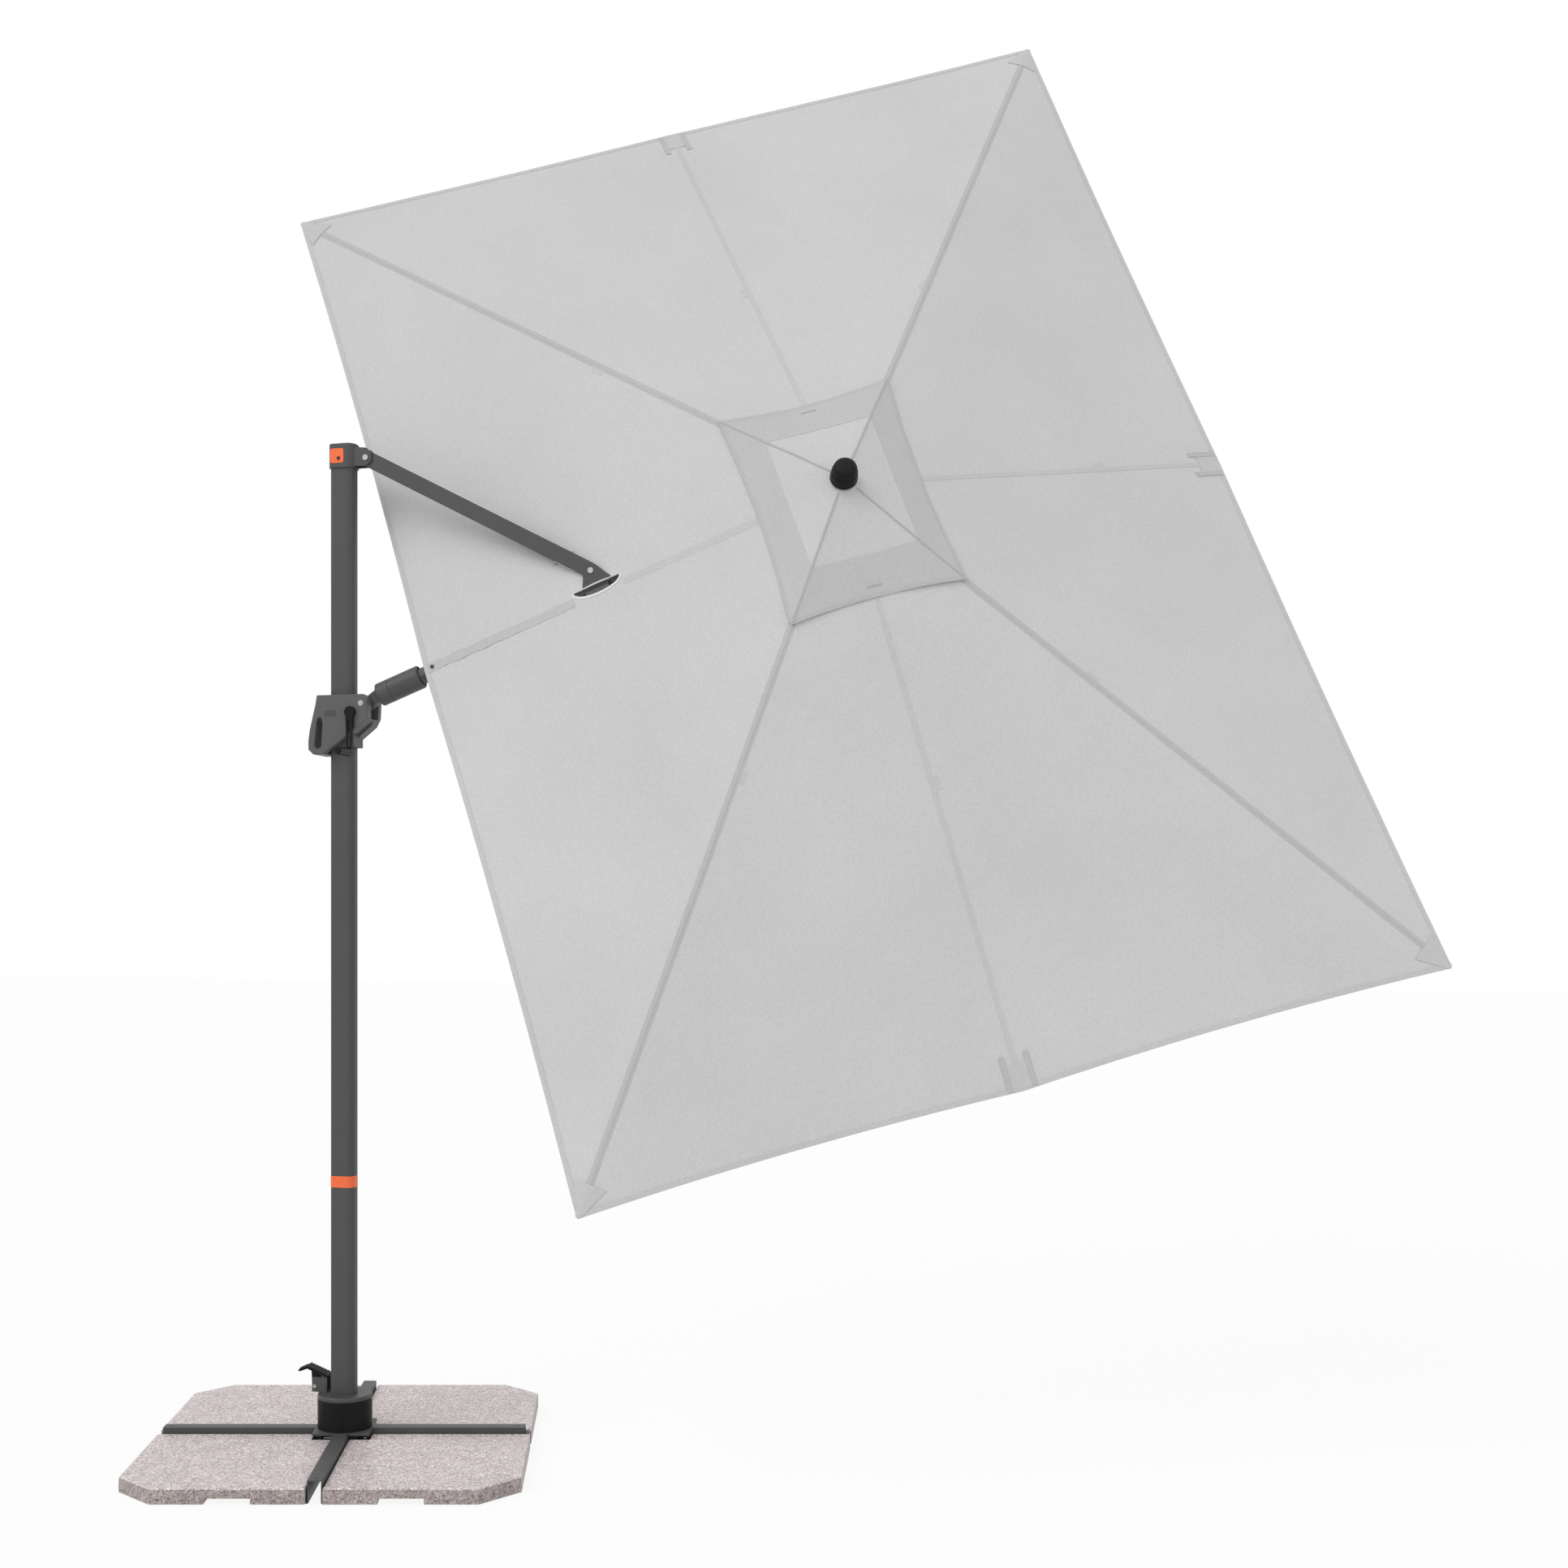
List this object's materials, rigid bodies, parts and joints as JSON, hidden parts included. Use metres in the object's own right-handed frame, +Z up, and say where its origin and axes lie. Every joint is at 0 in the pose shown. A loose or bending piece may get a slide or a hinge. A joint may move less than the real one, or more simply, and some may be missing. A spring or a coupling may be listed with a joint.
{
  "type": "cantilever parasol",
  "caption": "Cantilever parasol with a tilting rectangular canopy on a swinging boom, a crank slider on a turning mast, and a cross base with stone ballast plates.",
  "frame": {"origin": "on the mast axis, on the ground under the cross", "axes": "+Z up along the mast; the boom swings out along +X; the canopy faces -Y"},
  "size_m": [3.3559, 1.6717, 3.9878],
  "materials": {
    "painted_frame": "satin anthracite paint",
    "grey_alloy": "anthracite powder coat",
    "grey_shell": "fine satin grain",
    "black_plastic": "matte",
    "steel": "zinc plated",
    "orange_label": "satin vinyl",
    "granite": "polished speckled granite",
    "foot_rubber": "matte",
    "canopy_cloth": "woven polyester"
  },
  "bodies": {
    "base": {"base_cross": "painted_frame", "ballast_plate_front_left": "granite", "ballast_plate_front_right": "granite", "ballast_plate_rear_left": "granite", "ballast_plate_rear_right": "granite", "foot_pads": "foot_rubber", "hub_housing": "black_plastic", "hub_bolts": "steel", "thrust_washer": "black_plastic"},
    "mast": {"mast_socket": "steel", "turn_collar": "grey_alloy", "mast_tube": "painted_frame", "mast_cap": "painted_frame", "trim_labels": "orange_label", "pivot_pins": "steel", "pedal_bracket": "painted_frame", "lock_spring": "steel"},
    "pedal": {"pedal": "black_plastic"},
    "lock": {"lock_bolt": "steel"},
    "strut": {"strut": "painted_frame"},
    "carrier": {"carrier_knuckle": "painted_frame", "saddle_collar": "painted_frame", "saddle_pin": "steel"},
    "slider": {"slider_core": "grey_alloy", "slider_front_shell": "grey_shell", "slider_rear_shell": "grey_shell", "slider_liners": "black_plastic", "knuckle_pin": "steel"},
    "crank": {"crank": "black_plastic", "rope_drum": "black_plastic"},
    "crank_grip": {"crank_grip": "black_plastic"},
    "boom": {"boom_tube": "grey_alloy", "tilt_spring": "steel", "gore_boom": "canopy_cloth"},
    "tilt_grip": {"tilt_grip": "grey_alloy"},
    "crown": {"crown": "black_plastic", "finial": "black_plastic"},
    "runner": {"runner": "black_plastic"},
    "rib_outer": {"rib_outer": "grey_alloy", "gore_outer": "canopy_cloth"},
    "stretcher_outer": {"stretcher_outer": "grey_alloy"},
    "rib_outer_rear": {"rib_outer_rear": "grey_alloy", "gore_outer_rear": "canopy_cloth"},
    "stretcher_outer_rear": {"stretcher_outer_rear": "grey_alloy"},
    "rib_rear": {"rib_rear": "grey_alloy", "gore_rear": "canopy_cloth"},
    "stretcher_rear": {"stretcher_rear": "grey_alloy"},
    "rib_inner_rear": {"rib_inner_rear": "grey_alloy", "gore_inner_rear": "canopy_cloth"},
    "stretcher_inner_rear": {"stretcher_inner_rear": "grey_alloy"},
    "rib_inner_front": {"rib_inner_front": "grey_alloy", "gore_inner_front": "canopy_cloth"},
    "stretcher_inner_front": {"stretcher_inner_front": "grey_alloy"},
    "rib_front": {"rib_front": "grey_alloy", "gore_front": "canopy_cloth"},
    "stretcher_front": {"stretcher_front": "grey_alloy"},
    "rib_outer_front": {"rib_outer_front": "grey_alloy", "gore_outer_front": "canopy_cloth"},
    "stretcher_outer_front": {"stretcher_outer_front": "grey_alloy"},
    "stretcher_boom": {"stretcher_boom": "grey_alloy"}
  },
  "joints": [
    {"name": "mast_turn", "type": "hinge", "parent": "base", "child": "mast", "pos_m": [0, 0, 0], "axis": [0, 0, 1], "continuous": true},
    {"name": "pedal_press", "type": "hinge", "parent": "mast", "child": "pedal", "pos_m": [-0.08, 0, 0.16], "axis": [0, 1, 0], "range_deg": [-25, 0], "stiffness_Nm_per_rad": 4, "springref_deg": 17.19, "deforming": ["lock_spring"]},
    {"name": "lock_lift", "type": "slide", "parent": "mast", "child": "lock", "axis": [0, 0, 1], "range_m": [0, 0.0101]},
    {"name": "fold", "type": "hinge", "parent": "mast", "child": "strut", "pos_m": [0.066, 0, 2.62], "axis": [0, 1, 0], "range_deg": [0, 55], "deforming": ["gore_boom", "gore_outer", "gore_outer_rear", "gore_rear", "gore_inner_rear", "gore_inner_front", "gore_front", "gore_outer_front"]},
    {"name": "saddle_hinge", "type": "hinge", "parent": "strut", "child": "carrier", "pos_m": [0.68344, 0, 2.29446], "axis": [0, 1, 0], "range_deg": [-110.5, 0]},
    {"name": "slider_hinge", "type": "hinge", "parent": "carrier", "child": "slider", "pos_m": [0.066, 0, 1.96892], "axis": [0, 1, 0], "range_deg": [0, 55.5]},
    {"name": "crank_turn", "type": "hinge", "parent": "slider", "child": "crank", "pos_m": [0.037, -0.05, 1.94592], "axis": [0, 1, 0], "continuous": true},
    {"name": "crank_grip_spin", "type": "hinge", "parent": "crank", "child": "crank_grip", "pos_m": [0.037, -0.05, 1.83892], "axis": [0, 1, 0], "continuous": true},
    {"name": "tilt", "type": "hinge", "parent": "carrier", "child": "boom", "pos_m": [0.062, 0, 1.97917], "axis": [0.9317, 0, 0.3633], "range_deg": [-150.6, 0]},
    {"name": "tilt_grip_pull", "type": "slide", "parent": "boom", "child": "tilt_grip", "axis": [0.9317, 0, 0.3633], "range_m": [0, 0.01], "stiffness_N_per_m": 700, "springref_m": -0.01, "deforming": ["tilt_spring"]},
    {"name": "crown_hinge", "type": "hinge", "parent": "boom", "child": "crown", "pos_m": [1.28715, 0, 2.45684], "axis": [-0.3514, 0.2538, 0.9012], "range_deg": [0, 63.91]},
    {"name": "rib_hinge_outer", "type": "hinge", "parent": "crown", "child": "rib_outer", "pos_m": [1.36224, 0.01627, 2.48153], "axis": [-0.3514, 0.2538, 0.9012], "range_deg": [0, 63.91]},
    {"name": "stretcher_hinge_outer", "type": "hinge", "parent": "rib_outer", "child": "stretcher_outer", "pos_m": [1.94314, 0.49069, 2.57443], "axis": [-0.3514, 0.2538, 0.9012], "range_deg": [-137.01, 0]},
    {"name": "rib_hinge_outer_rear", "type": "hinge", "parent": "crown", "child": "rib_outer_rear", "pos_m": [1.33716, 0.01536, 2.50769], "axis": [-0.9394, -0.1097, 0.3247], "range_deg": [0, 71.55]},
    {"name": "stretcher_hinge_outer_rear", "type": "hinge", "parent": "rib_outer_rear", "child": "stretcher_outer_rear", "pos_m": [1.48245, 0.44956, 3.0748], "axis": [-0.9394, -0.1097, 0.3247], "range_deg": [-137.21, 0]},
    {"name": "rib_hinge_rear", "type": "hinge", "parent": "crown", "child": "rib_rear", "pos_m": [1.31275, 0.00978, 2.50845], "axis": [-0.9087, -0.3243, -0.263], "range_deg": [0, 68.75]},
    {"name": "stretcher_hinge_rear", "type": "hinge", "parent": "rib_rear", "child": "stretcher_rear", "pos_m": [1.01702, 0.37651, 3.07809], "axis": [-0.9087, -0.3243, -0.263], "range_deg": [-136.99, 0]},
    {"name": "runner_hinge", "type": "hinge", "parent": "stretcher_rear", "child": "runner", "pos_m": [1.22045, 0.38274, 2.36745], "axis": [-0.9087, -0.3243, -0.263], "range_deg": [0, 68.75]},
    {"name": "rib_hinge_inner_rear", "type": "hinge", "parent": "crown", "child": "rib_inner_rear", "pos_m": [1.29392, -0.00007, 2.49517], "axis": [-0.5214, -0.4116, -0.7475], "range_deg": [0, 71.55]},
    {"name": "stretcher_hinge_inner_rear", "type": "hinge", "parent": "rib_inner_rear", "child": "stretcher_inner_rear", "pos_m": [0.67236, 0.16046, 2.84037], "axis": [-0.5214, -0.4116, -0.7475], "range_deg": [-137.21, 0]},
    {"name": "rib_hinge_inner_front", "type": "hinge", "parent": "crown", "child": "rib_inner_front", "pos_m": [1.31651, -0.01639, 2.43722], "axis": [0.9394, 0.1097, -0.3247], "range_deg": [0, 71.55]},
    {"name": "stretcher_hinge_inner_front", "type": "hinge", "parent": "rib_inner_front", "child": "stretcher_inner_front", "pos_m": [1.09566, -0.14525, 1.75467], "axis": [0.9394, 0.1097, -0.3247], "range_deg": [-137.21, 0]},
    {"name": "rib_hinge_front", "type": "hinge", "parent": "crown", "child": "rib_front", "pos_m": [1.34085, -0.01052, 2.43635], "axis": [0.9087, 0.3243, 0.263], "range_deg": [0, 68.75]},
    {"name": "stretcher_hinge_front", "type": "hinge", "parent": "rib_front", "child": "stretcher_front", "pos_m": [1.54429, -0.00429, 1.72571], "axis": [0.9087, 0.3243, 0.263], "range_deg": [-136.99, 0]},
    {"name": "rib_hinge_outer_front", "type": "hinge", "parent": "crown", "child": "rib_outer_front", "pos_m": [1.35975, -0.00096, 2.44974], "axis": [0.5214, 0.4116, 0.7475], "range_deg": [0, 71.55]},
    {"name": "stretcher_hinge_outer_front", "type": "hinge", "parent": "rib_outer_front", "child": "stretcher_outer_front", "pos_m": [1.90575, 0.14385, 1.9891], "axis": [0.5214, 0.4116, 0.7475], "range_deg": [-137.21, 0]},
    {"name": "stretcher_hinge_boom", "type": "hinge", "parent": "boom", "child": "stretcher_boom", "pos_m": [0.58845, 0.03095, 2.17571], "axis": [0.3514, -0.2538, -0.9012], "range_deg": [-139.94, 0]}
  ],
  "couplings": [
    {"joint": "lock_lift", "follows": "pedal_press", "m_per_rad": -0.022918},
    {"joint": "saddle_hinge", "follows": "fold", "ratio": -2},
    {"joint": "slider_hinge", "follows": "fold", "ratio": 1},
    {"joint": "crown_hinge", "follows": "fold", "ratio": 1.1529},
    {"joint": "rib_hinge_outer", "follows": "fold", "ratio": 1.1529},
    {"joint": "stretcher_hinge_outer", "follows": "fold", "ratio": -2.4821},
    {"joint": "rib_hinge_outer_rear", "follows": "fold", "ratio": 1.2918},
    {"joint": "stretcher_hinge_outer_rear", "follows": "fold", "ratio": -2.4857},
    {"joint": "rib_hinge_rear", "follows": "fold", "ratio": 1.2409},
    {"joint": "stretcher_hinge_rear", "follows": "fold", "ratio": -2.4817},
    {"joint": "runner_hinge", "follows": "fold", "ratio": 1.2409},
    {"joint": "rib_hinge_inner_rear", "follows": "fold", "ratio": 1.2918},
    {"joint": "stretcher_hinge_inner_rear", "follows": "fold", "ratio": -2.4857},
    {"joint": "rib_hinge_inner_front", "follows": "fold", "ratio": 1.2918},
    {"joint": "stretcher_hinge_inner_front", "follows": "fold", "ratio": -2.4857},
    {"joint": "rib_hinge_front", "follows": "fold", "ratio": 1.2409},
    {"joint": "stretcher_hinge_front", "follows": "fold", "ratio": -2.4817},
    {"joint": "rib_hinge_outer_front", "follows": "fold", "ratio": 1.2918},
    {"joint": "stretcher_hinge_outer_front", "follows": "fold", "ratio": -2.4857},
    {"joint": "stretcher_hinge_boom", "follows": "fold", "ratio": -2.5353}
  ]
}
